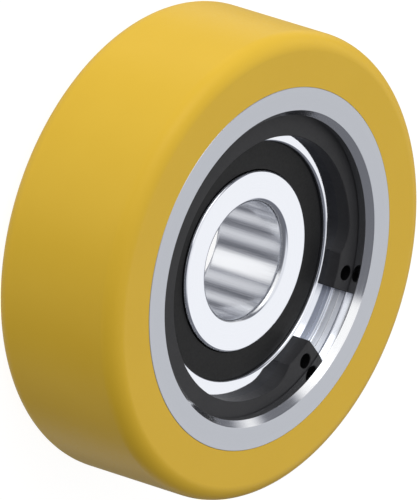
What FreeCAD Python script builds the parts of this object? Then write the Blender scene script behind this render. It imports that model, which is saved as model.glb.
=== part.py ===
import FreeCAD
import Part
import Sketcher
import math
import os

# A guide roller: a polyurethane tread on a turned steel wheel centre, running on one sealed
# deep-groove ball bearing that an internal retaining ring holds against a shoulder.
# The roller's axis is Z, the side with the retaining ring faces +Z, and the origin is the
# middle of the wheel centre. All lengths are in millimetres and all angles in degrees.

SIZES = [
    ("tread_thickness", 9.0, "tread from the wheel centre out to the running surface"),
    ("tread_corner", 3.0, "rounding between the running surface and each side of the tread"),
    ("tread_inset", 0.05, "how far each side of the tread lies below the wheel centre's face"),
    ("centre_wall", 5.0, "wall of the wheel centre, from the bearing seat out to the tread"),
    ("centre_width", 26.0, "wheel centre over its two faces"),
    ("centre_rim_break", 0.1, "broken outer edge of each face of the wheel centre"),
    ("mouth_chamfer", 1.05, "lead-in of the bearing seat"),
    ("shoulder_height", 4.0, "shoulder behind the bearing, from the seat inwards"),
    ("shoulder_chamfer", 1.0, "broken edge of the shoulder's bore on the back face"),
    ("bearing_diameter", 52.0, "outside of the bearing and bore of its seat"),
    ("bearing_bore", 20.0, "bore of the bearing, for the axle"),
    ("bearing_width", 15.0, "width of both bearing rings"),
    ("bearing_corner", 1.1, "rounded corners at the bearing's bore and outside"),
    ("inner_track_depth", 2.34, "inner ring's track, below the ring's outside"),
    ("inner_ring_edge", 0.5, "rounding of the inner ring's outside at its faces"),
    ("outer_track_depth", 2.09, "outer ring's track, below the ring's inside"),
    ("mouth_lip", 0.32, "how far each mouth of the outer ring stands in from its inside"),
    ("mouth_edge", 0.45, "rounding of that mouth at the outer ring's faces"),
    ("ball_diameter", 9.525, "ball"),
    ("ball_count", 7, "number of balls"),
    ("ball_play", 0.08, "gap between a ball and each track"),
    ("track_slack", 0.19, "how much larger the radius of a track's section is than a ball's"),
    ("cage_thickness", 0.7, "sheet of the ribbon cage"),
    ("cage_play", 0.15, "gap between a ball and its pocket"),
    ("cage_band", 3.4, "radial width of the ribbon"),
    ("rivet_diameter", 1.2, "shank of a cage rivet"),
    ("rivet_head_diameter", 2.2, "head of a cage rivet"),
    ("rivet_head_height", 0.5, "height of that head"),
    ("seal_groove_depth", 1.05, "seal groove in the outer ring, below its mouth"),
    ("seal_groove_width", 1.0, "width of that groove"),
    ("seal_rim_play", 0.05, "radial gap round the rim of a seal"),
    ("seal_rim_step", 0.1, "how far a seal's face stands above the groove's outer wall"),
    ("seal_depth", 0.8, "depth of a seal's face below the bearing's face, at the rim"),
    ("seal_dish", 0.15, "how much higher a seal's face lies at the lip"),
    ("seal_lip_play", 0.12, "gap between a seal's lip and the inner ring"),
    ("seal_lip_height", 0.55, "thickness of a seal at its lip"),
    ("seal_share", 0.68, "share of the room between a seal's face and the cage that the seal fills"),
    ("ring_setback", 2.7, "depth of the retaining ring below the wheel centre's face"),
    ("ring_thickness", 2.5, "sheet of the retaining ring"),
    ("ring_edge", 0.12, "broken edge round the front of the retaining ring"),
    ("ring_groove_depth", 1.5, "retaining ring groove, below the bearing seat"),
    ("ring_groove_play", 0.12, "extra width of that groove"),
    ("ring_seat_play", 0.05, "radial gap between the ring and the bottom of its groove"),
    ("ring_far_height", 4.95, "ring from the seat inwards, opposite its gap"),
    ("ring_near_height", 1.77, "ring from the seat inwards, as it would be at its gap"),
    ("ring_gap_direction", -12.1, "direction of the ring's gap, round from +X"),
    ("ring_gap_angle", 25.2, "angle of the gap between the two lugs"),
    ("lug_height", 3.9, "lug from the seat inwards"),
    ("lug_angle", 15.3, "angle that each lug spans"),
    ("lug_corner", 0.3, "rounded inner corners of a lug"),
    ("lug_root", 6.0, "hollow curve that runs from a lug into the ring"),
    ("lug_hole_diameter", 2.6, "plier hole in a lug"),
    ("lug_hole_inset", 1.6, "centre of a plier hole from the seat inwards"),
    ("lug_hole_setback", 6.95, "angle of a plier hole from its lug's end"),
]

# Places that several pieces share, worked out from the sizes above.
HALF_WIDTH = "Sizes.centre_width / 2"
SEAT = "Sizes.bearing_diameter / 2"
CENTRE_RADIUS = f"({SEAT} + Sizes.centre_wall)"
TREAD_RADIUS = f"({CENTRE_RADIUS} + Sizes.tread_thickness)"
RING_BACK = f"({HALF_WIDTH} - Sizes.ring_setback - Sizes.ring_thickness)"
BEARING_MIDDLE = f"({RING_BACK} - Sizes.bearing_width / 2)"
SHOULDER = f"({RING_BACK} - Sizes.bearing_width)"
PITCH = "((Sizes.bearing_bore + Sizes.bearing_diameter) / 4)"
BALL = "Sizes.ball_diameter / 2"
TRACK = f"({BALL} + Sizes.track_slack)"
INNER_SHOULDER = f"({PITCH} - {BALL} - Sizes.ball_play + Sizes.inner_track_depth)"
OUTER_SHOULDER = f"({PITCH} + {BALL} + Sizes.ball_play - Sizes.outer_track_depth)"
MOUTH = f"({OUTER_SHOULDER} - Sizes.mouth_lip)"
POCKET = f"({BALL} + Sizes.cage_play)"
CROWN = f"({POCKET} + Sizes.cage_thickness)"
BEARING_FACE = "Sizes.bearing_width / 2"
SEAL_RIM = f"({BEARING_FACE} - Sizes.seal_depth)"
GROOVE_TOP = f"({SEAL_RIM} - Sizes.seal_rim_step)"
GROOVE_BOTTOM = f"({GROOVE_TOP} - Sizes.seal_groove_width)"
GROOVE_RADIUS = f"({MOUTH} + Sizes.seal_groove_depth)"
RING_RADIUS = f"({SEAT} + Sizes.ring_groove_depth - Sizes.ring_seat_play)"
LUG_RADIUS = f"({SEAT} - Sizes.lug_height)"
HALF_GAP = "(Sizes.ring_gap_angle / 2)"

# A sketch's origin, as a geometry and a point of it, and the direction that it faces.
ORIGIN = (-1, 1)
UPWARDS = FreeCAD.Vector(0, 0, 1)

doc = FreeCAD.newDocument("guide_roller")


def make_sheet():
    """The spreadsheet that holds every driving size under its own alias."""
    sheet = doc.addObject("Spreadsheet::Sheet", "Sizes")
    for row, (alias, value, meaning) in enumerate(SIZES, start=1):
        sheet.set(f"A{row}", alias)
        sheet.set(f"B{row}", str(value))
        sheet.set(f"C{row}", meaning)
        sheet.setAlias(f"B{row}", alias)
    doc.recompute()
    return sheet


sizes = make_sheet()


def bind(item, **expressions):
    """Tie properties to the spreadsheet. Base_x stands for the property Base.x."""
    for name, expression in expressions.items():
        item.setExpression(name.replace("_", "."), expression)
    return item


def new_body(label, height="0"):
    """An empty body whose own XY plane lies at the given height."""
    body = doc.addObject("PartDesign::Body", label)
    body.Label = label
    bind(body, Placement_Base_z=height)
    return body


def new_sketch(body, name, role="XZ_Plane"):
    """A sketch in one of the body's planes. In XZ, across is the radius, and up is the height."""
    sketch = body.newObject("Sketcher::SketchObject", name)
    plane = [item for item in body.Origin.OriginFeatures if item.Role == role][0]
    sketch.AttachmentSupport = [(plane, "")]
    sketch.MapMode = "FlatFace"
    return sketch


def drawn_value(sketch, kind, places):
    """What a sketch's own drawing measures where a constraint is about to go."""
    if kind == "DistanceX":
        return sketch.getPoint(*places[-2:]).x
    if kind == "DistanceY":
        return sketch.getPoint(*places[-2:]).y
    radius = sketch.Geometry[places[0]].Radius
    return radius if kind == "Radius" else 2 * radius


def hold(sketch, kind, *places, expression):
    """Add a measured constraint to a sketch and tie it to an expression."""
    value = drawn_value(sketch, kind, places)
    index = sketch.addConstraint(Sketcher.Constraint(kind, *places, value))
    sketch.setExpression(f"Constraints[{index}]", expression)


def turn(body, name, corners, kind="PartDesign::Revolution"):
    """Turn a closed outline, given corner by corner, right round the roller's axis."""
    sketch = new_sketch(body, name + "_outline")
    count = len(corners)
    rough = [FreeCAD.Vector(count + number, number ** 2, 0) for number in range(count)]
    for start, end in zip(rough, rough[1:] + rough[:1]):
        sketch.addGeometry(Part.LineSegment(start, end))
    for number in range(count):
        sketch.addConstraint(
            Sketcher.Constraint("Coincident", number, 2, (number + 1) % count, 1))
    for number, (radius, height) in enumerate(corners):
        hold(sketch, "DistanceX", *ORIGIN, number, 1, expression=radius)
        hold(sketch, "DistanceY", *ORIGIN, number, 1, expression=height)
    return revolve(body, name, sketch, kind)


def revolve(body, name, sketch, kind):
    """The turning or grooving feature that a sketch in the XZ plane drives."""
    feature = body.newObject(kind, name)
    feature.Profile = sketch
    feature.ReferenceAxis = (sketch, ["V_Axis"])
    feature.Angle = 360
    sketch.Visibility = False
    doc.recompute()
    return feature


def ball_track(body, track_centre):
    """Groove a round track whose section is a circle about the given radius."""
    before = body.Shape.Volume
    sketch = new_sketch(body, "track_outline")
    rough_centre = FreeCAD.Vector(sizes.bearing_diameter, 0, 0)
    sketch.addGeometry(Part.Circle(rough_centre, UPWARDS, sizes.ball_diameter))
    sketch.addConstraint(Sketcher.Constraint("PointOnObject", 0, 3, -1))
    hold(sketch, "DistanceX", *ORIGIN, 0, 3, expression=track_centre)
    hold(sketch, "Radius", 0, expression=TRACK)
    feature = revolve(body, "track", sketch, "PartDesign::Groove")
    if feature.Shape.Volume >= before:
        raise RuntimeError(f"{body.Label}: the track cuts nothing")
    return feature


def circles(shape, radius, height):
    """Names of the shape's full circles about Z with that radius, at plus or minus the height."""
    names = []
    for number, edge in enumerate(shape.Edges, start=1):
        curve = edge.Curve
        if not isinstance(curve, Part.Circle):
            continue
        on_axis = abs(curve.Center.x) < 1e-6 and abs(curve.Center.y) < 1e-6
        right_height = abs(abs(curve.Center.z) - height) < 1e-6
        if on_axis and right_height and abs(curve.Radius - radius) < 1e-6:
            names.append(f"Edge{number}")
    if not names:
        raise RuntimeError(f"no edge with radius {radius} at height {height}")
    return names


def round_off(body, name, radius, height, rounding):
    """Round the body's circular edges of that radius, at plus and minus that height."""
    base = body.Tip
    fillet = body.newObject("PartDesign::Fillet", name)
    fillet.Base = (base, circles(base.Shape, radius, height))
    bind(fillet, Radius=rounding)
    doc.recompute()
    return fillet


def make_tread():
    """The tyre, cast round the wheel centre, with a rounded edge on each side."""
    body = new_body("tread")
    side = f"({HALF_WIDTH} - Sizes.tread_inset)"
    turn(body, "tyre", [
        (CENTRE_RADIUS, f"-{side}"),
        (TREAD_RADIUS, f"-{side}"),
        (TREAD_RADIUS, side),
        (CENTRE_RADIUS, side),
    ])
    radius = sizes.bearing_diameter / 2 + sizes.centre_wall + sizes.tread_thickness
    edge_height = sizes.centre_width / 2 - sizes.tread_inset
    round_off(body, "edges", radius, edge_height, "Sizes.tread_corner")
    return body


def make_wheel_centre():
    """The turned steel ring: bearing seat with lead-in, ring groove, and shoulder at the back."""
    body = new_body("wheel_centre")
    rim = CENTRE_RADIUS
    bore = f"({SEAT} - Sizes.shoulder_height)"
    turn(body, "turning", [
        (rim, f"-({HALF_WIDTH} - Sizes.centre_rim_break)"),
        (rim, f"{HALF_WIDTH} - Sizes.centre_rim_break"),
        (f"{rim} - Sizes.centre_rim_break", HALF_WIDTH),
        (f"{SEAT} + Sizes.mouth_chamfer", HALF_WIDTH),
        (SEAT, f"{HALF_WIDTH} - Sizes.mouth_chamfer"),
        (SEAT, SHOULDER),
        (bore, SHOULDER),
        (bore, f"-({HALF_WIDTH} - Sizes.shoulder_chamfer)"),
        (f"{bore} + Sizes.shoulder_chamfer", f"-({HALF_WIDTH})"),
        (f"{rim} - Sizes.centre_rim_break", f"-({HALF_WIDTH})"),
    ])
    before = body.Shape.Volume
    groove_front = f"{RING_BACK} + Sizes.ring_thickness + Sizes.ring_groove_play"
    groove = turn(body, "ring_groove", [
        (f"{SEAT} - Sizes.ring_groove_depth", RING_BACK),
        (f"{SEAT} + Sizes.ring_groove_depth", RING_BACK),
        (f"{SEAT} + Sizes.ring_groove_depth", groove_front),
        (f"{SEAT} - Sizes.ring_groove_depth", groove_front),
    ], "PartDesign::Groove")
    if groove.Shape.Volume >= before:
        raise RuntimeError("the ring groove cuts nothing")
    return body


def track_bottom(side):
    """Radius of the deepest line of a ball track: side is 1 in the outer ring, -1 in the inner."""
    pitch = (sizes.bearing_bore + sizes.bearing_diameter) / 4
    return pitch + side * (sizes.ball_diameter / 2 + sizes.ball_play)


def make_outer_ring():
    """The bearing's outer ring, with its track and a seal groove inside each mouth."""
    body = new_body("bearing_outer_ring", BEARING_MIDDLE)
    half_section = [
        (SEAT, BEARING_FACE),
        (MOUTH, BEARING_FACE),
        (MOUTH, GROOVE_TOP),
        (GROOVE_RADIUS, GROOVE_TOP),
        (GROOVE_RADIUS, GROOVE_BOTTOM),
        (OUTER_SHOULDER, GROOVE_BOTTOM),
    ]
    other_half = [(radius, f"-({height})") for radius, height in reversed(half_section)]
    turn(body, "ring", half_section + other_half)
    ball_track(body, f"{PITCH} + {BALL} + Sizes.ball_play - {TRACK}")
    face = sizes.bearing_width / 2
    round_off(body, "outer_corners", sizes.bearing_diameter / 2, face, "Sizes.bearing_corner")
    mouth = track_bottom(1) - sizes.outer_track_depth - sizes.mouth_lip
    round_off(body, "mouth_edges", mouth, face, "Sizes.mouth_edge")
    return body


def make_inner_ring():
    """The bearing's inner ring, with its track and rounded corners."""
    body = new_body("bearing_inner_ring", BEARING_MIDDLE)
    bore = "Sizes.bearing_bore / 2"
    turn(body, "ring", [
        (bore, f"-({BEARING_FACE})"),
        (INNER_SHOULDER, f"-({BEARING_FACE})"),
        (INNER_SHOULDER, BEARING_FACE),
        (bore, BEARING_FACE),
    ])
    ball_track(body, f"{PITCH} - {BALL} - Sizes.ball_play + {TRACK}")
    face = sizes.bearing_width / 2
    round_off(body, "bore_corners", sizes.bearing_bore / 2, face, "Sizes.bearing_corner")
    outside = track_bottom(-1) + sizes.inner_track_depth
    round_off(body, "outside_edges", outside, face, "Sizes.inner_ring_edge")
    return body


def make_front_seal():
    """A dished rubber seal: its rim sits in the outer ring's groove, its lip at the inner ring."""
    body = new_body("seal_front", BEARING_MIDDLE)
    rim_inside = f"{MOUTH} - Sizes.seal_rim_play"
    rim_outside = f"{GROOVE_RADIUS} - Sizes.seal_rim_play"
    lip = f"{INNER_SHOULDER} + Sizes.seal_lip_play"
    lip_face = f"({SEAL_RIM} + Sizes.seal_dish)"
    back = f"({SEAL_RIM} - Sizes.seal_share * ({SEAL_RIM} - {CROWN}))"
    turn(body, "disc", [
        (lip, lip_face),
        (rim_inside, SEAL_RIM),
        (rim_inside, GROOVE_TOP),
        (rim_outside, GROOVE_TOP),
        (rim_outside, GROOVE_BOTTOM),
        (f"{rim_inside} - Sizes.seal_groove_width / 2", GROOVE_BOTTOM),
        (f"{rim_inside} - Sizes.seal_groove_width", back),
        (f"{lip} + Sizes.seal_lip_height", back),
        (lip, f"{lip_face} - Sizes.seal_lip_height"),
    ])
    return body


def mirrored(source, label):
    """The same piece on the other side of the bearing's middle plane."""
    copy = doc.addObject("Part::Mirroring", label)
    copy.Label = label
    copy.Source = source
    copy.Normal = FreeCAD.Vector(0, 0, 1)
    bind(copy, Base_z=BEARING_MIDDLE)
    return copy


def cylinder(name, radius, height):
    """An upright cylinder."""
    item = doc.addObject("Part::Cylinder", name)
    return bind(item, Radius=radius, Height=height)


def boolean(kind, name, base, tool):
    """A cut, fuse or common of two objects."""
    item = doc.addObject(kind, name)
    item.Base = base
    item.Tool = tool
    return item


def fused(name, pieces):
    """Several objects joined into one."""
    item = doc.addObject("Part::MultiFuse", name)
    item.Shapes = pieces
    return item


def on_pitch_circle(item, number, step=0.0):
    """Put an object on the balls' pitch circle, at its number or a part of a step past it."""
    angle = f"({number + step} * 360 / Sizes.ball_count)"
    return bind(item,
                Placement_Base_x=f"{PITCH} * cos({angle})",
                Placement_Base_y=f"{PITCH} * sin({angle})")


def spheres(name, radius):
    """One sphere round each ball's place, all fused."""
    pieces = []
    for number in range(int(sizes.ball_count)):
        sphere = doc.addObject("Part::Sphere", f"{name}_{number + 1}")
        bind(sphere, Radius=radius)
        pieces.append(on_pitch_circle(sphere, number))
    return fused(name, pieces)


def make_balls():
    """The balls, each a piece of its own."""
    balls = []
    for number in range(int(sizes.ball_count)):
        label = f"ball_{number + 1}"
        ball = doc.addObject("Part::Sphere", label)
        ball.Label = label
        bind(ball, Radius=BALL, Placement_Base_z=BEARING_MIDDLE)
        balls.append(on_pitch_circle(ball, number))
    return balls


def make_front_cage():
    """The pressed front half of the ribbon cage: a flat band with a domed pocket over each ball."""
    inside = f"{PITCH} - Sizes.cage_band / 2"
    outside = f"{PITCH} + Sizes.cage_band / 2"
    band = boolean("Part::Cut", "cage_band",
                   cylinder("band_outside", outside, CROWN),
                   cylinder("band_inside", inside, CROWN))
    plate = cylinder("cage_plate", outside, "Sizes.cage_thickness")
    solid = boolean("Part::Common", "cage_blank",
                    band, fused("plate_and_domes", [plate, spheres("dome", CROWN)]))
    holes = []
    for number in range(int(sizes.ball_count)):
        hole = cylinder(f"rivet_hole_{number + 1}", "Sizes.rivet_diameter / 2",
                        "Sizes.cage_thickness")
        holes.append(on_pitch_circle(hole, number, 0.5))
    cage = boolean("Part::Cut", "cage_front",
                   solid, fused("pockets_and_holes", [spheres("pocket", POCKET)] + holes))
    cage.Label = "cage_front"
    return bind(cage, Placement_Base_z=BEARING_MIDDLE)


def make_rivet(number):
    """One cage rivet: a shank through both halves, with a domed head at each end."""
    shank = cylinder(f"shank_{number}", "Sizes.rivet_diameter / 2", "2 * Sizes.cage_thickness")
    bind(shank, Placement_Base_z="-Sizes.cage_thickness")
    heads = []
    for side, lowest, highest in ((1, 0, 90), (-1, -90, 0)):
        head = doc.addObject("Part::Ellipsoid", f"head_{number}_{highest}")
        head.Angle1 = lowest
        head.Angle2 = highest
        bind(head, Radius1="Sizes.rivet_head_height", Radius2="Sizes.rivet_head_diameter / 2",
             Placement_Base_z=f"{side} * Sizes.cage_thickness")
        heads.append(head)
    rivet = fused(f"rivet_{number}", [shank] + heads)
    return on_pitch_circle(rivet, number, -0.5)


def make_rivets():
    """All the cage's rivets, as separate solids in one piece."""
    rivets = doc.addObject("Part::Compound", "cage_rivets")
    rivets.Label = "cage_rivets"
    rivets.Links = [make_rivet(number + 1) for number in range(int(sizes.ball_count))]
    return bind(rivets, Placement_Base_z=BEARING_MIDDLE)


def polar(radius, angle):
    """The point at that radius and angle in a sketch."""
    turned = math.radians(angle)
    return FreeCAD.Vector(radius * math.cos(turned), radius * math.sin(turned), 0)


def arc(centre, start, end):
    """The arc that runs anticlockwise from start to end about a centre."""
    circle = Part.Circle(centre, UPWARDS, (start - centre).Length)
    return Part.ArcOfCircle(circle, circle.parameter(start), circle.parameter(end))


def root_centre(hollow_centre, hollow_radius, corner, root):
    """Centre of the curve that leaves a lug's corner and runs smoothly into the ring's hollow."""
    reach = hollow_radius - root
    line = corner - hollow_centre
    along = (reach ** 2 - root ** 2 + line.Length ** 2) / (2 * line.Length)
    aside = math.sqrt(reach ** 2 - along ** 2)
    across = FreeCAD.Vector(-line.y, line.x, 0).normalize()
    return hollow_centre + line.normalize() * along + across * aside


def flipped(point):
    """The same point on the other side of the ring's line of symmetry."""
    return FreeCAD.Vector(point.x, -point.y, 0)


def ring_sketch(body):
    """The retaining ring's outline and its two plier holes, with the gap towards +X.

    The curves are drawn in their places, and the constraints then tie them to the sizes.
    """
    seat = sizes.bearing_diameter / 2
    outside = seat + sizes.ring_groove_depth - sizes.ring_seat_play
    lug = seat - sizes.lug_height
    half_gap = sizes.ring_gap_angle / 2
    lug_end = half_gap + sizes.lug_angle
    hollow = FreeCAD.Vector((sizes.ring_far_height - sizes.ring_near_height) / 2, 0, 0)
    hollow_radius = seat - (sizes.ring_far_height + sizes.ring_near_height) / 2
    axis = FreeCAD.Vector(0, 0, 0)
    corner = polar(lug, lug_end)
    root = root_centre(hollow, hollow_radius, corner, sizes.lug_root)
    smooth = hollow + (root - hollow).normalize() * hollow_radius
    tip = polar(lug, half_gap)
    rim = polar(outside, half_gap)
    hole = polar(seat - sizes.lug_hole_inset, half_gap + sizes.lug_hole_setback)
    hole_radius = sizes.lug_hole_diameter / 2

    sketch = new_sketch(body, "ring_outline", "XY_Plane")
    sketch.addGeometry([
        arc(axis, rim, flipped(rim)),
        Part.LineSegment(flipped(rim), flipped(tip)),
        arc(axis, flipped(corner), flipped(tip)),
        arc(flipped(root), flipped(smooth), flipped(corner)),
        arc(hollow, smooth, flipped(smooth)),
        arc(root, corner, smooth),
        arc(axis, tip, corner),
        Part.LineSegment(tip, rim),
        Part.Circle(hole, UPWARDS, hole_radius),
        Part.Circle(flipped(hole), UPWARDS, hole_radius),
    ])
    rim_arc, low_end, low_lug, low_root, hollow_arc, top_root, top_lug, top_end, *holes = range(10)
    start, end, centre = 1, 2, 3

    for first, first_point, second, second_point in (
            (rim_arc, end, low_end, start), (low_end, end, low_lug, end),
            (low_lug, start, low_root, end), (top_root, start, top_lug, end),
            (top_lug, start, top_end, start), (top_end, end, rim_arc, start)):
        sketch.addConstraint(
            Sketcher.Constraint("Coincident", first, first_point, second, second_point))
    for turned in (rim_arc, low_lug, top_lug):
        sketch.addConstraint(Sketcher.Constraint("Coincident", turned, centre, *ORIGIN))
    for root_arc, root_point, hollow_point in (
            (low_root, start, end), (top_root, end, start)):
        sketch.addConstraint(Sketcher.Constraint(
            "Tangent", root_arc, root_point, hollow_arc, hollow_point))
        hold(sketch, "Radius", root_arc, expression="Sizes.lug_root")
    sketch.addConstraint(Sketcher.Constraint("PointOnObject", hollow_arc, centre, -1))
    hold(sketch, "DistanceX", *ORIGIN, hollow_arc, centre,
         expression="(Sizes.ring_far_height - Sizes.ring_near_height) / 2")
    hold(sketch, "Radius", hollow_arc,
         expression=f"{SEAT} - (Sizes.ring_far_height + Sizes.ring_near_height) / 2")

    hold(sketch, "Radius", rim_arc, expression=RING_RADIUS)
    for lug_arc in (low_lug, top_lug):
        hold(sketch, "Radius", lug_arc, expression=LUG_RADIUS)
    lug_end_angle = f"({HALF_GAP} + Sizes.lug_angle)"
    for geometry, point, height in (
            (rim_arc, start, f"{RING_RADIUS} * sin({HALF_GAP})"),
            (rim_arc, end, f"-{RING_RADIUS} * sin({HALF_GAP})"),
            (top_lug, start, f"{LUG_RADIUS} * sin({HALF_GAP})"),
            (low_lug, end, f"-{LUG_RADIUS} * sin({HALF_GAP})"),
            (top_lug, end, f"{LUG_RADIUS} * sin({lug_end_angle})"),
            (low_lug, start, f"-{LUG_RADIUS} * sin({lug_end_angle})")):
        hold(sketch, "DistanceY", *ORIGIN, geometry, point, expression=height)
    hole_radius = f"({SEAT} - Sizes.lug_hole_inset)"
    hole_angle = f"({HALF_GAP} + Sizes.lug_hole_setback)"
    for circle, side in zip(holes, (1, -1)):
        hold(sketch, "Diameter", circle, expression="Sizes.lug_hole_diameter")
        hold(sketch, "DistanceX", *ORIGIN, circle, centre,
             expression=f"{hole_radius} * cos({hole_angle})")
        hold(sketch, "DistanceY", *ORIGIN, circle, centre,
             expression=f"{side} * {hole_radius} * sin({hole_angle})")
    return sketch


def lug_corners(shape):
    """Names of the ring's upright edges at the inner corners of its lugs."""
    lug = sizes.bearing_diameter / 2 - sizes.lug_height
    names = []
    for number, edge in enumerate(shape.Edges, start=1):
        ends = [vertex.Point for vertex in edge.Vertexes]
        upright = isinstance(edge.Curve, Part.Line) and abs(ends[0].z - ends[1].z) > 1e-6
        if upright and abs(math.hypot(ends[0].x, ends[0].y) - lug) < 1e-4:
            names.append(f"Edge{number}")
    return names


def front_edges(shape, height):
    """Names of all the edges that lie in the plane at that height."""
    return [f"Edge{number}" for number, edge in enumerate(shape.Edges, start=1)
            if all(abs(vertex.Point.z - height) < 1e-6 for vertex in edge.Vertexes)]


def make_retaining_ring():
    """The internal retaining ring: thickest opposite its gap, with two lugs for the pliers."""
    body = new_body("retaining_ring", RING_BACK)
    body.Placement.Rotation = FreeCAD.Rotation(UPWARDS, 1)
    bind(body, Placement_Rotation_Angle="Sizes.ring_gap_direction")
    sheet_metal = body.newObject("PartDesign::Pad", "sheet_metal")
    sheet_metal.Profile = ring_sketch(body)
    bind(sheet_metal, Length="Sizes.ring_thickness")
    doc.recompute()
    corners = body.newObject("PartDesign::Fillet", "corners")
    corners.Base = (sheet_metal, lug_corners(sheet_metal.Shape))
    bind(corners, Radius="Sizes.lug_corner")
    doc.recompute()
    edges = body.newObject("PartDesign::Chamfer", "front_edges")
    edges.Base = (corners, front_edges(corners.Shape, sizes.ring_thickness))
    bind(edges, Size="Sizes.ring_edge")
    doc.recompute()
    return body


seal_front = make_front_seal()
cage_front = make_front_cage()
subparts = [
    make_tread(),
    make_wheel_centre(),
    make_retaining_ring(),
    make_outer_ring(),
    make_inner_ring(),
    seal_front,
    mirrored(seal_front, "seal_back"),
    cage_front,
    mirrored(cage_front, "cage_back"),
    make_rivets(),
] + make_balls()
doc.recompute()

for item in doc.Objects:
    if "Invalid" in item.State or "Error" in item.State:
        raise RuntimeError(f"{item.Label}: {item.State}")
for item in subparts:
    if item.Shape.isNull() or not item.Shape.isValid():
        raise RuntimeError(f"{item.Label}: its shape is not sound")

os.makedirs("parts", exist_ok=True)
for item in subparts:
    item.Shape.exportStep(f"parts/{item.Label}.step")
    print(item.Label, len(item.Shape.Solids), round(item.Shape.Volume, 2))
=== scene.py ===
import math

import bmesh
import bpy
from mathutils import Matrix, Vector


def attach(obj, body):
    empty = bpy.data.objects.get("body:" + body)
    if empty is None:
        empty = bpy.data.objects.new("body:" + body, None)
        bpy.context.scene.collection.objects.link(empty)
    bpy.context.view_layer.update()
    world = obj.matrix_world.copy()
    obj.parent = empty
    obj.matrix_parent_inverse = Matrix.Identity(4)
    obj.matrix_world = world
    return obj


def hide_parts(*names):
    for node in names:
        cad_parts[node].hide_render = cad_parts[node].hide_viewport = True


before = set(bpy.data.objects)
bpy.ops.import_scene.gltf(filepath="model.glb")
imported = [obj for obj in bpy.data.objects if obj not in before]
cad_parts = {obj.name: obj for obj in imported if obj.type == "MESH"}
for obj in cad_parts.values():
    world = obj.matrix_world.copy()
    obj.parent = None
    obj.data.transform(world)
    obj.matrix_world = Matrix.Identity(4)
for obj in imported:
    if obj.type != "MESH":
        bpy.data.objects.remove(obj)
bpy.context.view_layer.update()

# A guide roller: cast polyurethane tread, turned steel wheel centre, sealed ball bearing and
# retaining ring. The roller's axis is Z. Sizes are in millimetres until a mesh is made.

MM = 0.001

# The roller's sizes, the same as in the CAD model, in millimetres. A radius is from the axis. A
# height is from the middle of the wheel centre, and in the bearing it is from its own middle.
HALF_WIDTH = 13.0
TREAD_RADIUS = 40.0
TREAD_SIDE = 12.95
TREAD_CORNER = 3.0
CENTRE_RADIUS = 31.0
RIM_BREAK = 0.1
SEAT_RADIUS = 26.0
MOUTH_CHAMFER = 1.05
SHOULDER_BORE = 22.0
SHOULDER_CHAMFER = 1.0
SHOULDER = -7.2

# The retaining ring: its groove in the wheel centre, and its plier holes. Turns are in degrees.
RING_FRONT = 10.42
RING_BACK = 7.8
RING_GROOVE = 27.5
RING_GAP_DIRECTION = -12.1   # from +X
PLIER_HOLE_TURN = 19.55      # from the middle of the gap
PLIER_HOLE_CIRCLE = 24.4
PLIER_HOLE_RADIUS = 1.3

# The bearing's rings, their ball tracks, and the grooves that hold the seals.
BEARING_MIDDLE = 0.3
BEARING_HALF = 7.5
BEARING_BORE = 10.0
BEARING_CORNER = 1.1
PITCH = 18.0
BALL_RADIUS = 4.7625
BALL_COUNT = 7
TRACK_RADIUS = 4.9525
OUTER_TRACK_CENTRE = 17.89
INNER_TRACK_CENTRE = 18.11
OUTER_SHOULDER = 20.7525
OUTER_MOUTH = 20.4325
MOUTH_EDGE = 0.45
INNER_OUTSIDE = 15.4975
INNER_EDGE = 0.5
GROOVE_TOP = 6.6
GROOVE_BOTTOM = 5.6
GROOVE_RADIUS = 21.4825

# The seals. Each has a rim in its groove, a thinner web, and a lip that stands off the inner ring.
SEAL_RIM = 6.7
SEAL_RIM_INSIDE = 20.3825
SEAL_RIM_OUTSIDE = 21.4325
SEAL_FOOT_INSIDE = SEAL_RIM_INSIDE - 0.5
SEAL_WEB_OUTSIDE = SEAL_RIM_INSIDE - 1.0
SEAL_BACK = 5.9605
SEAL_LIP = 15.6175
SEAL_LIP_FACE = 6.85
SEAL_LIP_HEIGHT = 0.55

# The cage's sheet and its rivets.
CAGE_SHEET = 0.7
RIVET_RADIUS = 0.6
RIVET_HEAD_RADIUS = 1.1
RIVET_HEAD_HEIGHT = 0.5

# How far an edge is rounded, in millimetres, from a square one to a fillet.
SQUARE = 0.0
CRISP = 0.04
NEAT = 0.05
EASED = 0.06
SOFTENED = 0.08
BROKEN = 0.1
SEAT_FILLET = 0.2

# How finely the pieces are divided.
FACETS_ROUND = 256
WIDE_FACETS_ROUND = 320
EDGE_STEPS = 5
TREAD_CORNER_STEPS = 12
CENTRE_EDGE_STEPS = 3
TRACK_STEPS = 18
RIVET_FACETS = 24
BALL_FINENESS = 5

# Shading is smooth across an edge up to this many degrees, and sharp over it.
SHARP_WHEN_TURNED = 50
SHARP_IN_SHEET = 25
SHARP_ON_RIVETS = 40

MERGE_WITHIN = 0.0005        # millimetres
HOLE_WALL_TOLERANCE = 0.05   # millimetres that a face of a hole's wall may lie outside its radius
LARGE_FACES_LEAD = 100       # the Weighted Normal setting at which the largest faces decide
UPRIGHT_UNDER = 0.5          # a wall's normal has a Z under this
BORE_UNDER = -0.6            # a bore's normal and the way outwards have a cosine under this

WHITE = (1, 1, 1, 1)


def linear(code):
    """An sRGB hex colour as the linear colour that a shader takes."""
    channels = [int(code[start:start + 2], 16) / 255 for start in (1, 3, 5)]
    return tuple(c / 12.92 if c <= 0.04045 else ((c + 0.055) / 1.055) ** 2.4
                 for c in channels) + (1.0,)


def per_mm(size):
    """The texture scale that gives features of that size in millimetres."""
    return 1000.0 / size


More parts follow.
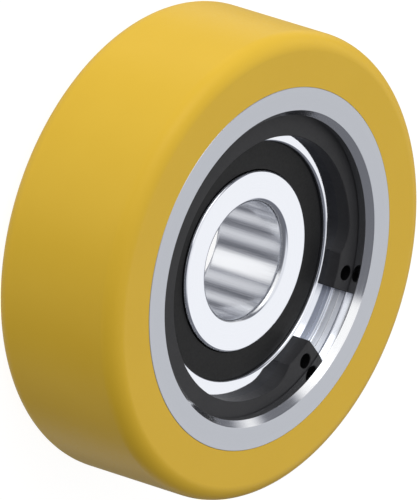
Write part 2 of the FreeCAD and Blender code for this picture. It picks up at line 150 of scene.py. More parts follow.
def add(tree, kind, inputs=None, **settings):
    """Add a node. An input is named or numbered, and takes a value or another node's socket."""
    node = tree.nodes.new(kind)
    for name, value in settings.items():
        setattr(node, name, value)
    for key, value in (inputs or {}).items():
        if isinstance(value, bpy.types.NodeSocket):
            tree.links.new(value, node.inputs[key])
        else:
            node.inputs[key].default_value = value
    return node


# The camera stands on the side of -X and above, with a long lens, rolled as the photograph is. It
# aims beside the middle of the front face, to put the roller where the photograph has it.
CAMERA_RIGHT = (0.5692, 0.2996, 0.7657)
CAMERA_UP = (-0.1787, 0.9541, -0.2404)
AIM_RIGHT = -10.194          # millimetres from the middle of the front face
AIM_UP = 3.197
LENS = 1350.0
SENSOR = 36.0
VIEW_WIDTH = 82.55           # millimetres of the object in the picture's width
NEAREST = 0.1                # metres
FARTHEST = 20


def make_camera():
    """The photograph's view."""
    right = Vector(CAMERA_RIGHT)
    up = Vector(CAMERA_UP)
    back = right.cross(up).normalized()
    up = back.cross(right).normalized()
    aim = Vector((0, 0, HALF_WIDTH)) + AIM_RIGHT * right + AIM_UP * up
    distance = VIEW_WIDTH * LENS / SENSOR
    turned = Matrix((right.normalized(), up, back)).transposed().to_4x4()
    camera = bpy.data.objects.new("camera", bpy.data.cameras.new("camera"))
    camera.data.lens = LENS
    camera.data.sensor_width = SENSOR
    camera.data.clip_start = NEAREST
    camera.data.clip_end = FARTHEST
    camera.matrix_world = Matrix.Translation((aim + back * distance) * MM) @ turned
    bpy.context.scene.collection.objects.link(camera)
    bpy.context.scene.camera = camera


def seen_directly(tree):
    """Two sockets: 1 for camera, glossy and transmission rays, and 1 for camera rays alone."""
    path = add(tree, "ShaderNodeLightPath")
    first = add(tree, "ShaderNodeMath", {0: path.outputs["Is Camera Ray"],
                                         1: path.outputs["Is Glossy Ray"]}, operation="MAXIMUM")
    all_three = add(tree, "ShaderNodeMath", {0: first.outputs[0],
                                             1: path.outputs["Is Transmission Ray"]},
                    operation="MAXIMUM")
    return all_three.outputs[0], path.outputs["Is Camera Ray"]


# The studio that metal shows. A softbox is (degrees from +X, half width in degrees, level). Two
# stand over the roller, and one is low on the camera's side, with a ring of equal strip lamps.
HIGH_SOFTBOXES = ((22, 40, 1.0), (135, 44, 1.05))
LOW_SOFTBOX = (172, 18, 1.1)
SOFT_EDGE = 8                # degrees that a softbox fades over, on each side of its edge
STRIP_LAMPS = 8
STRIP_LEVEL = 0.75
CEILING_LEVEL = 0.85
# The room between the lamps is dim and slightly blue. What is brighter in it is nearer white.
ROOM_LEVEL = 0.19
ROOM_COLOUR = "#EBEFFF"
# The heights over which each zone gives way to the next one up: the low lamps to the bare room,
# the room to the high softboxes, and these to the ceiling. Straight down is -1, straight up is 1.
LOW_LAMPS_END = (-0.2, -0.05)
SOFTBOXES_START = (0.1, 0.25)
CEILING_STARTS = (0.83, 0.95)
# The soft light on matt surfaces: its level, and how much it grows towards each axis.
SOFT_LEVEL = 0.63
SOFT_SLOPE = (-0.08, 0.56, 0)


def softbox(tree, azimuth, centre, half_width, level):
    """A softbox's level in the directions that it fills, and 0 beside it."""
    turned = add(tree, "ShaderNodeMath", {0: azimuth, 1: math.radians(centre)},
                 operation="SUBTRACT")
    facing = add(tree, "ShaderNodeMath", {0: turned.outputs[0]}, operation="COSINE")
    box = add(tree, "ShaderNodeMapRange",
              {"Value": facing.outputs[0],
               "From Min": math.cos(math.radians(half_width + SOFT_EDGE)),
               "From Max": math.cos(math.radians(half_width - SOFT_EDGE)), "To Max": level},
              interpolation_type="SMOOTHSTEP")
    return box.outputs[0]


def make_world():
    """White behind the roller. Metal shows the studio's lamps, and their light is soft."""
    world = bpy.data.worlds.new("studio")
    bpy.context.scene.world = world
    world.use_nodes = True
    tree = world.node_tree
    tree.nodes.clear()
    seen, camera_ray = seen_directly(tree)
    direction = add(tree, "ShaderNodeTexCoord").outputs["Generated"]
    parts = add(tree, "ShaderNodeSeparateXYZ", {"Vector": direction}).outputs
    azimuth = add(tree, "ShaderNodeMath", {0: parts["Y"], 1: parts["X"]},
                  operation="ARCTAN2").outputs[0]
    upper = ROOM_LEVEL
    for place in HIGH_SOFTBOXES:
        upper = add(tree, "ShaderNodeMath", {0: upper, 1: softbox(tree, azimuth, *place)},
                    operation="MAXIMUM").outputs[0]
    turned = add(tree, "ShaderNodeMath", {0: azimuth, 1: STRIP_LAMPS}, operation="MULTIPLY")
    waves = add(tree, "ShaderNodeMath", {0: turned.outputs[0]}, operation="COSINE")
    strips = add(tree, "ShaderNodeMapRange",
                 {"Value": waves.outputs[0], "From Min": -1.0, "From Max": 1.0,
                  "To Min": ROOM_LEVEL, "To Max": STRIP_LEVEL}, interpolation_type="SMOOTHSTEP")
    level = add(tree, "ShaderNodeMath", {0: strips.outputs[0],
                                         1: softbox(tree, azimuth, *LOW_SOFTBOX)},
                operation="MAXIMUM").outputs[0]
    for (first, last), above in ((LOW_LAMPS_END, ROOM_LEVEL), (SOFTBOXES_START, upper),
                                 (CEILING_STARTS, CEILING_LEVEL)):
        level = add(tree, "ShaderNodeMapRange", {
            "Value": parts["Z"], "From Min": first, "From Max": last, "To Min": level,
            "To Max": above}).outputs[0]
    colour = add(tree, "ShaderNodeMix", {0: level, 6: linear(ROOM_COLOUR), 7: WHITE},
                 data_type="RGBA")
    mirrored = add(tree, "ShaderNodeBackground", {"Color": colour.outputs[2],
                                                  "Strength": level})
    slope = add(tree, "ShaderNodeVectorMath", {0: direction, 1: SOFT_SLOPE},
                operation="DOT_PRODUCT")
    soft = add(tree, "ShaderNodeMath", {0: slope.outputs["Value"], 1: SOFT_LEVEL},
               operation="ADD")
    ambient = add(tree, "ShaderNodeBackground", {"Color": WHITE, "Strength": soft.outputs[0]})
    white = add(tree, "ShaderNodeBackground", {"Color": WHITE, "Strength": 1.0})
    room = add(tree, "ShaderNodeMixShader", {0: seen, 1: ambient.outputs[0],
                                             2: mirrored.outputs[0]})
    final = add(tree, "ShaderNodeMixShader", {0: camera_ray, 1: room.outputs[0],
                                              2: white.outputs[0]})
    add(tree, "ShaderNodeOutputWorld", {"Surface": final.outputs[0]})


# The one lamp, square: which way it stands from the roller, then metres and watts.
LAMP_DIRECTION = (-0.5, 0.68, 0.53)
LAMP_DISTANCE = 0.7
LAMP_SIDE = 0.4
LAMP_POWER = 0.43


def make_key_light():
    """One large soft lamp, above the roller as the photograph shows it."""
    lamp = bpy.data.lights.new("softbox", "AREA")
    lamp.shape = "SQUARE"
    lamp.size = LAMP_SIDE
    lamp.energy = LAMP_POWER
    holder = bpy.data.objects.new("softbox", lamp)
    towards = Vector(LAMP_DIRECTION).normalized()
    holder.location = towards * LAMP_DISTANCE
    holder.rotation_mode = "QUATERNION"
    holder.rotation_quaternion = towards.to_track_quat("Z", "Y")
    bpy.context.scene.collection.objects.link(holder)


FLOOR_HALF = 6.0             # metres from the middle to each side
FLOOR_GAP = 0.02             # millimetres under the roller, so that no two faces coincide
FLOOR_GREY = (0.2, 0.2, 0.2, 1)
FLOOR_GLOW = 0.92


def make_floor():
    """A plain white floor that stays nearly white and still takes the roller's shadow.

    Only the camera sees it, and only from above. So the studio's light also reaches the roller
    from below, and a camera under the floor sees the roller's back.
    """
    material = bpy.data.materials.new("white_paper")
    material.use_nodes = True
    tree = material.node_tree
    tree.nodes.clear()
    paper = add(tree, "ShaderNodeBsdfDiffuse", {"Color": FLOOR_GREY})
    glow = add(tree, "ShaderNodeEmission", {"Color": WHITE, "Strength": FLOOR_GLOW})
    white = add(tree, "ShaderNodeAddShader", {0: paper.outputs[0], 1: glow.outputs[0]})
    clear = add(tree, "ShaderNodeBsdfTransparent")
    eye = add(tree, "ShaderNodeLightPath").outputs["Is Camera Ray"]
    underside = add(tree, "ShaderNodeNewGeometry").outputs["Backfacing"]
    from_above = add(tree, "ShaderNodeMath", {0: eye, 1: underside}, operation="GREATER_THAN")
    shown = add(tree, "ShaderNodeMixShader", {0: from_above.outputs[0], 1: clear.outputs[0],
                                              2: white.outputs[0]})
    add(tree, "ShaderNodeOutputMaterial", {"Surface": shown.outputs[0]})
    mesh = bpy.data.meshes.new("floor")
    height = -(HALF_WIDTH + FLOOR_GAP) * MM
    corners = [(x * FLOOR_HALF, y * FLOOR_HALF, height)
               for x, y in ((-1, -1), (1, -1), (1, 1), (-1, 1))]
    mesh.from_pydata(corners, [], [(0, 1, 2, 3)])
    mesh.materials.append(material)
    floor = bpy.data.objects.new("floor", mesh)
    bpy.context.scene.collection.objects.link(floor)


# Materials. A pixel of the photograph's frame is 0.2 mm wide. A pattern that is finer than that on
# the real thing is drawn as coarse as it needs to be to show, and its comment says so.
NOISE_LOW = 0.35             # noise runs mostly between these two
NOISE_HIGH = 0.65
ALONG_AXIS = (1, 1, 0.03)    # draws a pattern out along Z, some 30 times as long as it is wide


def start_material(name):
    """A new material, its empty tree, and the Object coordinates in it."""
    material = bpy.data.materials.new(name)
    material.use_nodes = True
    tree = material.node_tree
    tree.nodes.clear()
    return material, tree, add(tree, "ShaderNodeTexCoord").outputs["Object"]


def rings(tree, place, pitch):
    """Uneven lines round the roller's axis, as a lathe or a grinding wheel leaves.

    They follow the radius plus the height, so that walls have them as well as faces.
    """
    parts = add(tree, "ShaderNodeSeparateXYZ", {"Vector": place})
    flat = add(tree, "ShaderNodeCombineXYZ", {"X": parts.outputs["X"], "Y": parts.outputs["Y"]})
    radius = add(tree, "ShaderNodeVectorMath", {0: flat.outputs[0]}, operation="LENGTH")
    along = add(tree, "ShaderNodeMath", {0: radius.outputs["Value"], 1: parts.outputs["Z"]},
                operation="ADD")
    lines = add(tree, "ShaderNodeTexNoise", {"W": along.outputs[0], "Scale": per_mm(pitch),
                                             "Detail": 2.0, "Roughness": 0.6},
                noise_dimensions="1D")
    return lines.outputs["Fac"]


def lengthwise(tree, place, width):
    """Uneven lines along the roller's axis, as a stick that is drawn through a bore leaves."""
    stretched = add(tree, "ShaderNodeVectorMath", {0: place, 1: ALONG_AXIS},
                    operation="MULTIPLY")
    return add(tree, "ShaderNodeTexNoise", {"Vector": stretched.outputs[0],
                                            "Scale": per_mm(width), "Detail": 3.0}).outputs["Fac"]


def surface(tree, tint, colours, grain, roughness, relief=0, under=None, **constants):
    """A surface whose colour follows one pattern, and its roughness and relief another.

    The colours and the roughness are given as the two ends that the pattern runs between. The
    relief is the grain's height in millimetres, over a coarser relief if there is one. Any other
    setting goes to the shader's socket of that name, with its spaces written as underscores.
    """
    colour = add(tree, "ShaderNodeMix", {0: tint, 6: linear(colours[0]), 7: linear(colours[1])},
                 data_type="RGBA")
    rough = add(tree, "ShaderNodeMapRange", {
        "Value": grain, "From Min": NOISE_LOW, "From Max": NOISE_HIGH,
        "To Min": roughness[0], "To Max": roughness[1]})
    sources = {"Base Color": colour.outputs[2], "Roughness": rough.outputs[0]}
    if relief:
        bump = add(tree, "ShaderNodeBump", {"Height": grain, "Strength": 1.0,
                                            "Distance": relief * MM})
        if under is not None:
            tree.links.new(under, bump.inputs["Normal"])
        sources["Normal"] = bump.outputs["Normal"]
    for name, value in constants.items():
        sources[name.replace("_", " ")] = value
    shader = add(tree, "ShaderNodeBsdfPrincipled", sources)
    add(tree, "ShaderNodeOutputMaterial", {"Surface": shader.outputs[0]})


def cast_polyurethane():
    """Amber polyurethane, cast in a polished mould: satin, slightly cloudy, faintly uneven.

    The clouds are some 11 mm wide, and the uneven spots 0.5 mm.
    """
    material, tree, place = start_material("polyurethane_cast_amber")
    cloud = add(tree, "ShaderNodeTexNoise", {"Vector": place, "Scale": per_mm(11),
                                             "Detail": 3.0}).outputs["Fac"]
    grain = add(tree, "ShaderNodeTexNoise", {"Vector": place, "Scale": per_mm(0.5),
                                             "Detail": 2.0}).outputs["Fac"]
    surface(tree, cloud, ("#EBBF33", "#F0C539"), grain, roughness=(0.32, 0.4), relief=0.004,
            IOR=1.5, Specular_IOR_Level=0.25)
    return material


def turned_steel():
    """Mild steel, finish-turned: a matt grey face with fine round tool marks.

    Real marks are some 0.1 mm apart, and these are drawn 0.35 mm apart so that they show.
    """
    material, tree, place = start_material("steel_finish_turned")
    marks = rings(tree, place, pitch=0.35)
    surface(tree, marks, ("#BCBFC6", "#C4C7CE"), marks, roughness=(0.3, 0.38), relief=0.0008,
            Metallic=1.0)
    return material


def bored_steel():
    """The same steel, fine-bored for the bearing: bright and slightly hazy, with faint lines.

    Real lines are some 0.05 mm apart, and these are drawn 0.3 mm apart so that they show.
    """
    material, tree, place = start_material("steel_fine_bored")
    marks = rings(tree, place, pitch=0.3)
    surface(tree, marks, ("#EEEFF1", "#F3F4F6"), marks, roughness=(0.1, 0.16), relief=0.00005,
            Metallic=1.0)
    return material


def ground_steel():
    """Hardened bearing steel, ground: bright flat faces, nearly mirrors.

    Real grinding lines are some 0.01 mm wide, and these are drawn 0.25 mm wide so that they show.
    """
    material, tree, place = start_material("bearing_steel_ground")
    marks = rings(tree, place, pitch=0.25)
    surface(tree, marks, ("#ECEFF6", "#F1F3F9"), marks, roughness=(0.03, 0.07), relief=0.00005,
            Metallic=1.0)
    return material


def honed_steel():
    """The bearing's bore, ground and polished lengthwise: bright, with hairlines.

    Real hairlines are some 0.02 mm wide, and these are drawn 0.3 mm wide so that they show.
    """
    material, tree, place = start_material("bearing_steel_honed")
    marks = lengthwise(tree, place, width=0.3)
    surface(tree, marks, ("#E8EAEE", "#EFF0F3"), marks, roughness=(0.12, 0.24), relief=0.005,
            Metallic=1.0)
    return material


def spring_steel():
    """Spring steel sheet, stamped, phosphated and oiled: dark grey with a soft sheen.

    Real crystals are some 0.01 mm wide, and these are drawn 0.3 mm wide so that they show. The
    oil lies in patches 5 mm wide.
    """
    material, tree, place = start_material("spring_steel_phosphated")
    crystals = add(tree, "ShaderNodeTexNoise", {"Vector": place, "Scale": per_mm(0.3),
                                                "Detail": 3.0}).outputs["Fac"]
    cloud = add(tree, "ShaderNodeTexNoise", {"Vector": place, "Scale": per_mm(5),
                                             "Detail": 2.0}).outputs["Fac"]
    surface(tree, cloud, ("#333335", "#3B3B3D"), crystals, roughness=(0.45, 0.55),
            relief=0.002, IOR=1.5, Specular_IOR_Level=0.2)
    return material


def hole_walls_painted_shade():
    """The walls of the plier holes, painted near-black as the shade inside them: hardly any sheen,
    faintly uneven in small patches.
    """
    material, tree, place = start_material("spring_steel_hole_painted_shade")
    shade_speckle = add(tree, "ShaderNodeTexNoise", {"Vector": place, "Scale": per_mm(0.5),
                                            "Detail": 2.0}).outputs["Fac"]
    surface(tree, shade_speckle, ("#0A0A0B", "#111112"), shade_speckle, roughness=(0.5, 0.6), IOR=1.5,
            Specular_IOR_Level=0.1)
    return material


def nitrile_rubber():
    """Nitrile rubber, moulded over a steel disc: black and satin, with faint round flow lines.

    The flow lines are 0.8 mm apart. The mould's own grain is some 0.05 mm wide, and is drawn
    0.3 mm wide so that it shows.
    """
    material, tree, place = start_material("nitrile_rubber_moulded")
    flow = rings(tree, place, pitch=0.8)
    grain = add(tree, "ShaderNodeTexNoise", {"Vector": place, "Scale": per_mm(0.3),
                                             "Detail": 2.0}).outputs["Fac"]
    lines = add(tree, "ShaderNodeBump", {"Height": flow, "Strength": 1.0,
                                         "Distance": 0.004 * MM})
    surface(tree, flow, ("#141415", "#19191A"), grain, roughness=(0.45, 0.55), relief=0.003,
            under=lines.outputs["Normal"], IOR=1.52, Specular_IOR_Level=0.22)
    return material


def pressed_steel():
    """Soft steel sheet, pressed: dull grey with a fine grain.

    The real grain is some 0.05 mm wide, and is drawn 0.4 mm wide so that it shows.
    """
    material, tree, place = start_material("steel_sheet_pressed")
    grain = add(tree, "ShaderNodeTexNoise", {"Vector": place, "Scale": per_mm(0.4),
                                             "Detail": 3.0}).outputs["Fac"]
    surface(tree, grain, ("#9A9A9A", "#A8A8A8"), grain, roughness=(0.32, 0.42), relief=0.002,
            Metallic=1.0)
    return material


def polished_steel():
    """Bearing balls, lapped: mirror-bright, with the faintest haze in patches 1.5 mm wide."""
    material, tree, place = start_material("ball_steel_lapped")
    haze = add(tree, "ShaderNodeTexNoise", {"Vector": place, "Scale": per_mm(1.5),
                                            "Detail": 2.0}).outputs["Fac"]
    surface(tree, haze, ("#E0E2E6", "#E8EAEE"), haze, roughness=(0.03, 0.06), Metallic=1.0)
    return material


# Node trees for the shapes that follow a rule.
def new_tree(name, **sockets):
    """An empty geometry tree with named inputs, and the sockets that its nodes read."""
    tree = bpy.data.node_groups.new(name, "GeometryNodeTree")
    tree.interface.new_socket("Geometry", in_out="INPUT", socket_type="NodeSocketGeometry")
    for label, kind in sockets.items():
        tree.interface.new_socket(label.replace("_", " "), in_out="INPUT",
                                  socket_type="NodeSocket" + kind)
    tree.interface.new_socket("Geometry", in_out="OUTPUT", socket_type="NodeSocketGeometry")
    return tree, add(tree, "NodeGroupInput").outputs


def finished(tree, shape, material, bore_material=None):
    """Realise the shape, shade it smooth, and give it its material or two.

    The bore material goes on the faces that face the axis.
    """
    real = add(tree, "GeometryNodeRealizeInstances", {"Geometry": shape})
    smooth = add(tree, "GeometryNodeSetShadeSmooth", {"Geometry": real.outputs[0]})
    painted = add(tree, "GeometryNodeSetMaterial",
                  {"Geometry": smooth.outputs[0], "Material": material})
    if bore_material is not None:
        place = add(tree, "GeometryNodeInputPosition").outputs[0]
        from_axis = add(tree, "ShaderNodeVectorMath", {0: place, 1: (1, 1, 0)},
                        operation="MULTIPLY")
        outward = add(tree, "ShaderNodeVectorMath", {0: from_axis.outputs[0]},
                      operation="NORMALIZE")
        facing = add(tree, "ShaderNodeVectorMath", {
            0: outward.outputs[0], 1: add(tree, "GeometryNodeInputNormal").outputs[0]},
            operation="DOT_PRODUCT")
        inwards = add(tree, "FunctionNodeCompare", {0: facing.outputs["Value"],
                                                    1: BORE_UNDER}, operation="LESS_THAN")
        painted = add(tree, "GeometryNodeSetMaterial", {
            "Geometry": painted.outputs[0], "Selection": inwards.outputs[0],
            "Material": bore_material})
    add(tree, "NodeGroupOutput", {"Geometry": painted.outputs[0]})
    return tree


def turned_tree():
    """A section, drawn as a curve whose point radii are its roundings, turned about Z.

    It is swept along a circle of the turning radius, which is taken off its own radii first.
    The sweep lays a section upside down, so it is also turned over, and its faces are flipped.
    """
    tree, given = new_tree("turned_piece", Facets_round="Int", Steps_round_an_edge="Int",
                           Turning_radius="Float", Material="Material",
                           Bore_material="Material")
    rounding = add(tree, "GeometryNodeInputRadius").outputs[0]
    section = add(tree, "GeometryNodeFilletCurve", {
        "Curve": given["Geometry"], "Count": given["Steps round an edge"], "Radius": rounding,
        "Limit Radius": True}, mode="POLY")
    section = add(tree, "GeometryNodeSetCurveRadius", {"Curve": section.outputs[0],
                                                       "Radius": 1.0})
    inwards = add(tree, "ShaderNodeMath", {0: given["Turning radius"], 1: -1.0},
                  operation="MULTIPLY")
    shift = add(tree, "ShaderNodeCombineXYZ", {"X": inwards.outputs[0]})
    section = add(tree, "GeometryNodeTransform", {
        "Geometry": section.outputs[0], "Translation": shift.outputs[0],
        "Scale": (1, -1, 1)})
    path = add(tree, "GeometryNodeCurvePrimitiveCircle", {
        "Resolution": given["Facets round"], "Radius": given["Turning radius"]}, mode="RADIUS")
    swept = add(tree, "GeometryNodeCurveToMesh", {
        "Curve": path.outputs[0], "Profile Curve": section.outputs[0]})
    outwards = add(tree, "GeometryNodeFlipFaces", {"Mesh": swept.outputs[0]})
    return finished(tree, outwards.outputs[0], given["Material"], given["Bore material"])


TURNED = turned_tree()


def evaluated_mesh(holder, tree, name, **values):
    """The plain mesh that a tree makes on an object, which then goes."""
    bpy.context.scene.collection.objects.link(holder)
    modifier = holder.modifiers.new(tree.name, "NODES")
    modifier.node_group = tree
    identifiers = {item.name: item.identifier for item in tree.interface.items_tree
                   if item.in_out == "INPUT"}
    for label, value in values.items():
        modifier[identifiers[label.replace("_", " ")]] = value
    graph = bpy.context.evaluated_depsgraph_get()
    mesh = bpy.data.meshes.new_from_object(
        holder.evaluated_get(graph), preserve_all_data_layers=True, depsgraph=graph)
    mesh.name = name
    holder.modifiers.clear()
    bpy.data.objects.remove(holder)
    return mesh


def clean(mesh, sharp_over):
    """Merge doubles, point the faces outwards, and keep edges over that angle sharp."""
    shape = bmesh.new()
    shape.from_mesh(mesh)
    bmesh.ops.remove_doubles(shape, verts=shape.verts, dist=MERGE_WITHIN * MM)
    bmesh.ops.recalc_face_normals(shape, faces=shape.faces)
    shape.to_mesh(mesh)
    shape.free()
    mesh.shade_smooth()
    mesh.set_sharp_from_angle(angle=math.radians(sharp_over))


def place_piece(name, mesh, body, slot, *nodes):
    """Put a finished mesh in the scene as a piece that stands for CAD nodes."""
    piece = bpy.data.objects.new(name, mesh)
    bpy.context.scene.collection.objects.link(piece)
    weigh = piece.modifiers.new("flat_faces_stay_flat", "WEIGHTED_NORMAL")
    weigh.keep_sharp = True
    weigh.weight = LARGE_FACES_LEAD
    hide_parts(*nodes)
    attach(piece, body)
    return piece


def anticlockwise(section):
    """The section with its points anticlockwise, so that the turned faces point outwards."""
    twice_area = sum(here[0] * after[1] - after[0] * here[1]
                     for here, after in zip(section, section[1:] + section[:1]))
    return section if twice_area > 0 else section[::-1]


def turned_piece(name, section, body, slot, node, material, bore_material=None,
                 facets=FACETS_ROUND, steps=EDGE_STEPS):
    """Turn a section, given as (radius, height, rounding) in millimetres."""
    section = anticlockwise(section)
    curve = bpy.data.curves.new(name, "CURVE")
    curve.dimensions = "2D"
    spline = curve.splines.new("POLY")
    spline.points.add(len(section) - 1)
    for point, (radius, height, rounding) in zip(spline.points, section):
        point.co = (radius * MM, height * MM, 0, 1)
        point.radius = rounding * MM
    spline.use_cyclic_u = True
    holder = bpy.data.objects.new(name + "_section", curve)
    mesh = evaluated_mesh(holder, TURNED, name, Facets_round=facets, Steps_round_an_edge=steps,
                          Turning_radius=section[0][0] * MM, Material=material,
                          Bore_material=bore_material or material)
    clean(mesh, SHARP_WHEN_TURNED)
    place_piece(name, mesh, body, slot, node)


def track_points(centre, start, end):
    """Points along a ball track's arc, from one angle to the other in degrees."""
    points = []
    for number in range(TRACK_STEPS + 1):
        angle = math.radians(start + (end - start) * number / TRACK_STEPS)
        points.append((centre + TRACK_RADIUS * math.cos(angle), TRACK_RADIUS * math.sin(angle),
                       SQUARE))
    return points


def in_bearing(section):
    """The same section at the bearing's place along the axis."""
    return [(radius, height + BEARING_MIDDLE, rounding) for radius, height, rounding in section]


def flipped(section):
    """The same section on the other side of the bearing's middle."""
    return [(radius, -height, rounding) for radius, height, rounding in reversed(section)]


def make_tread(material):
    """The tyre, a plain band with two round corners."""
    turned_piece("tread_tyre", [
        (CENTRE_RADIUS, -TREAD_SIDE, SQUARE), (TREAD_RADIUS, -TREAD_SIDE, TREAD_CORNER),
        (TREAD_RADIUS, TREAD_SIDE, TREAD_CORNER), (CENTRE_RADIUS, TREAD_SIDE, SQUARE)],
        "roller", "tread", "tread", material, facets=WIDE_FACETS_ROUND,
        steps=TREAD_CORNER_STEPS)


def make_wheel_centre(face, bore):
    """The steel ring in the tyre: rim, mouth, ring groove, bearing seat and shoulder."""
    rim = HALF_WIDTH - RIM_BREAK
    turned_piece("wheel_centre_turning", [
        (CENTRE_RADIUS, -rim, CRISP), (CENTRE_RADIUS, rim, CRISP),
        (CENTRE_RADIUS - RIM_BREAK, HALF_WIDTH, CRISP),
        (SEAT_RADIUS + MOUTH_CHAMFER, HALF_WIDTH, EASED),
        (SEAT_RADIUS, HALF_WIDTH - MOUTH_CHAMFER, SOFTENED),
        (SEAT_RADIUS, RING_FRONT, NEAT), (RING_GROOVE, RING_FRONT, BROKEN),
        (RING_GROOVE, RING_BACK, BROKEN), (SEAT_RADIUS, RING_BACK, NEAT),
        (SEAT_RADIUS, SHOULDER, SEAT_FILLET), (SHOULDER_BORE, SHOULDER, BROKEN),
        (SHOULDER_BORE, -(HALF_WIDTH - SHOULDER_CHAMFER), BROKEN),
        (SHOULDER_BORE + SHOULDER_CHAMFER, -HALF_WIDTH, BROKEN),
        (CENTRE_RADIUS - RIM_BREAK, -HALF_WIDTH, CRISP)],
        "roller", "turned_steel", "wheel_centre", face, bore, facets=WIDE_FACETS_ROUND,
        steps=CENTRE_EDGE_STEPS)


def make_outer_ring(material):
    """The outer race, with its ball track and a seal groove at each mouth."""
    half = [(SEAT_RADIUS, BEARING_HALF, BEARING_CORNER),
            (OUTER_MOUTH, BEARING_HALF, MOUTH_EDGE), (OUTER_MOUTH, GROOVE_TOP, NEAT),
            (GROOVE_RADIUS, GROOVE_TOP, BROKEN), (GROOVE_RADIUS, GROOVE_BOTTOM, BROKEN),
            (OUTER_SHOULDER, GROOVE_BOTTOM, BROKEN)]
    reach = math.degrees(math.acos((OUTER_SHOULDER - OUTER_TRACK_CENTRE) / TRACK_RADIUS))
    track = track_points(OUTER_TRACK_CENTRE, reach, -reach)
    turned_piece("bearing_outer_race", in_bearing(half + track + flipped(half)),
                 "roller", "bearing_steel", "bearing_outer_ring", material)


def make_inner_ring(face, bore):
    """The inner race, with its ball track and the axle's bore."""
    half = [(BEARING_BORE, BEARING_HALF, BEARING_CORNER),
            (INNER_OUTSIDE, BEARING_HALF, INNER_EDGE)]
    reach = math.degrees(math.acos((INNER_TRACK_CENTRE - INNER_OUTSIDE) / TRACK_RADIUS))
    track = track_points(INNER_TRACK_CENTRE, 180 - reach, 180 + reach)
    turned_piece("bearing_inner_race", in_bearing(half + track + flipped(half)),
                 "axle_side", "bearing_steel", "bearing_inner_ring", face, bore)


def make_seals(material):
    """The two seals, one the other turned over."""
    section = [(SEAL_LIP, SEAL_LIP_FACE, SOFTENED), (SEAL_RIM_INSIDE, SEAL_RIM, SOFTENED),
               (SEAL_RIM_INSIDE, GROOVE_TOP, CRISP), (SEAL_RIM_OUTSIDE, GROOVE_TOP, BROKEN),
               (SEAL_RIM_OUTSIDE, GROOVE_BOTTOM, BROKEN),
               (SEAL_FOOT_INSIDE, GROOVE_BOTTOM, BROKEN),
               (SEAL_WEB_OUTSIDE, SEAL_BACK, BROKEN),
               (SEAL_LIP + SEAL_LIP_HEIGHT, SEAL_BACK, BROKEN),
               (SEAL_LIP, SEAL_LIP_FACE - SEAL_LIP_HEIGHT, NEAT)]
    turned_piece("seal_front_rubber", in_bearing(section), "roller", "seal_rubber",
                 "seal_front", material)
    turned_piece("seal_back_rubber", in_bearing(flipped(section)), "roller", "seal_rubber",
                 "seal_back", material)


def smooth_copy(name, node, body, slot, material):
    """A merged copy of a CAD node, shaded smooth between its real edges."""
    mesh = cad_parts[node].data.copy()
    mesh.name = name
    mesh.materials.clear()
    mesh.materials.append(material)
    clean(mesh, SHARP_IN_SHEET)
    return place_piece(name, mesh, body, slot, node)


def make_retaining_ring(material, hole_shade_material):
    """The ring as it is in the CAD model, with the walls of its plier holes painted near-black as
    shade.
    """
    piece = smooth_copy("retaining_ring_sheet", "retaining_ring", "roller", "ring_steel",
                        material)
    piece.data.materials.append(hole_shade_material)
    reach = PLIER_HOLE_RADIUS + HOLE_WALL_TOLERANCE
    holes = []
    for side in (-1, 1):
        angle = math.radians(RING_GAP_DIRECTION + side * PLIER_HOLE_TURN)
        holes.append(PLIER_HOLE_CIRCLE * Vector((math.cos(angle), math.sin(angle))))
    # The upright faces round each plier hole take the painted shade material.
    for face in piece.data.polygons:
        spot = face.center.xy / MM
        upright = abs(face.normal.z) < UPRIGHT_UNDER
        if upright and any((spot - hole).length < reach for hole in holes):
            face.material_index = 1


def ball_tree():
    """A round ball at its place."""
    tree, given = new_tree("ball", Radius="Float", Place="Vector", Fineness="Int",
                           Material="Material")
    ball = add(tree, "GeometryNodeMeshIcoSphere", {"Radius": given["Radius"],
                                                   "Subdivisions": given["Fineness"]})
    moved = add(tree, "GeometryNodeTransform", {"Geometry": ball.outputs[0],
                                                "Translation": given["Place"]})
    return finished(tree, moved.outputs[0], given["Material"])


def make_balls(material):
    """The balls, evenly round the pitch circle, each on its own body."""
    tree = ball_tree()
    for number in range(BALL_COUNT):
        angle = 2 * math.pi * number / BALL_COUNT
        place = Vector((PITCH * math.cos(angle), PITCH * math.sin(angle), BEARING_MIDDLE)) * MM
        label = f"ball_{number + 1}"
        holder = bpy.data.objects.new(label, bpy.data.meshes.new(label))
        mesh = evaluated_mesh(holder, tree, label, Radius=BALL_RADIUS * MM, Place=place,
                              Fineness=BALL_FINENESS, Material=material)
        place_piece(label + "_lapped", mesh, label, "ball_steel", label)


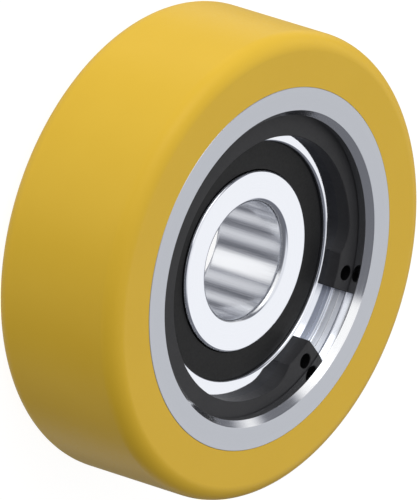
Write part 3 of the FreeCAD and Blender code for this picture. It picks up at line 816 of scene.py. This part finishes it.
def rivet_tree():
    """Equal rivets, evenly round a circle: a shank between two domed heads."""
    tree, given = new_tree("rivets_round_a_circle", Count="Int", Pitch_radius="Float",
                           First_angle="Float", Height="Float", Shank_radius="Float",
                           Grip="Float", Head_radius="Float", Head_height="Float",
                           Facets="Int", Material="Material")
    shank = add(tree, "GeometryNodeMeshCylinder", {
        "Vertices": given["Facets"], "Radius": given["Shank radius"], "Depth": given["Grip"]})
    rows = add(tree, "ShaderNodeMath", {0: given["Facets"], 1: 2.0}, operation="DIVIDE")
    ball = add(tree, "GeometryNodeMeshUVSphere", {
        "Segments": given["Facets"], "Rings": rows.outputs[0], "Radius": 1.0})
    spot = add(tree, "ShaderNodeSeparateXYZ",
               {"Vector": add(tree, "GeometryNodeInputPosition").outputs[0]}).outputs
    upper_half = add(tree, "ShaderNodeMath", {0: spot["Z"], 1: 0.0}, operation="MAXIMUM")
    sized = [add(tree, "ShaderNodeMath", {0: value, 1: size}, operation="MULTIPLY").outputs[0]
             for value, size in ((spot["X"], given["Head radius"]),
                                 (spot["Y"], given["Head radius"]),
                                 (upper_half.outputs[0], given["Head height"]))]
    domed = add(tree, "ShaderNodeCombineXYZ", {"X": sized[0], "Y": sized[1], "Z": sized[2]})
    head = add(tree, "GeometryNodeSetPosition", {"Geometry": ball.outputs[0],
                                                 "Position": domed.outputs[0]})
    half_grip = add(tree, "ShaderNodeMath", {0: given["Grip"], 1: 0.5}, operation="MULTIPLY")
    lift = add(tree, "ShaderNodeCombineXYZ", {"Z": half_grip.outputs[0]})
    upper = add(tree, "GeometryNodeTransform", {"Geometry": head.outputs[0],
                                                "Translation": lift.outputs[0]})
    lower = add(tree, "GeometryNodeTransform", {"Geometry": upper.outputs[0],
                                                "Rotation": (math.pi, 0, 0)})
    rivet = add(tree, "GeometryNodeJoinGeometry")
    for part in (shank, upper, lower):
        tree.links.new(part.outputs[0], rivet.inputs[0])
    circle = add(tree, "GeometryNodeMeshCircle", {"Vertices": given["Count"],
                                                  "Radius": given["Pitch radius"]})
    middle = add(tree, "ShaderNodeCombineXYZ", {"Z": given["Height"]})
    turned = add(tree, "ShaderNodeCombineXYZ", {"Z": given["First angle"]})
    places = add(tree, "GeometryNodeTransform", {
        "Geometry": circle.outputs[0], "Translation": middle.outputs[0],
        "Rotation": turned.outputs[0]})
    rivets = add(tree, "GeometryNodeInstanceOnPoints", {"Points": places.outputs[0],
                                                        "Instance": rivet.outputs[0]})
    return finished(tree, rivets.outputs[0], given["Material"])


def make_rivets(material):
    """The cage's rivets, one between each two balls."""
    name = "cage_rivets_headed"
    holder = bpy.data.objects.new(name, bpy.data.meshes.new(name))
    mesh = evaluated_mesh(
        holder, rivet_tree(), name, Count=BALL_COUNT, Pitch_radius=PITCH * MM,
        First_angle=math.pi / BALL_COUNT, Height=BEARING_MIDDLE * MM,
        Shank_radius=RIVET_RADIUS * MM, Grip=2 * CAGE_SHEET * MM,
        Head_radius=RIVET_HEAD_RADIUS * MM, Head_height=RIVET_HEAD_HEIGHT * MM,
        Facets=RIVET_FACETS, Material=material)
    clean(mesh, SHARP_ON_RIVETS)
    place_piece(name, mesh, "cage", "cage_steel", "cage_rivets")


make_camera()
make_world()
make_key_light()
make_floor()

make_tread(cast_polyurethane())
make_wheel_centre(turned_steel(), bored_steel())
bearing_face = ground_steel()
make_outer_ring(bearing_face)
make_inner_ring(bearing_face, honed_steel())
make_seals(nitrile_rubber())
# The walls of the retaining ring's plier holes are painted near-black as shade.
make_retaining_ring(spring_steel(), hole_walls_painted_shade())
sheet = pressed_steel()
for half in ("cage_front", "cage_back"):
    smooth_copy(half + "_pressed", half, "cage", "cage_steel", sheet)
make_rivets(sheet)
make_balls(polished_steel())

bpy.context.scene.view_settings.view_transform = "Standard"
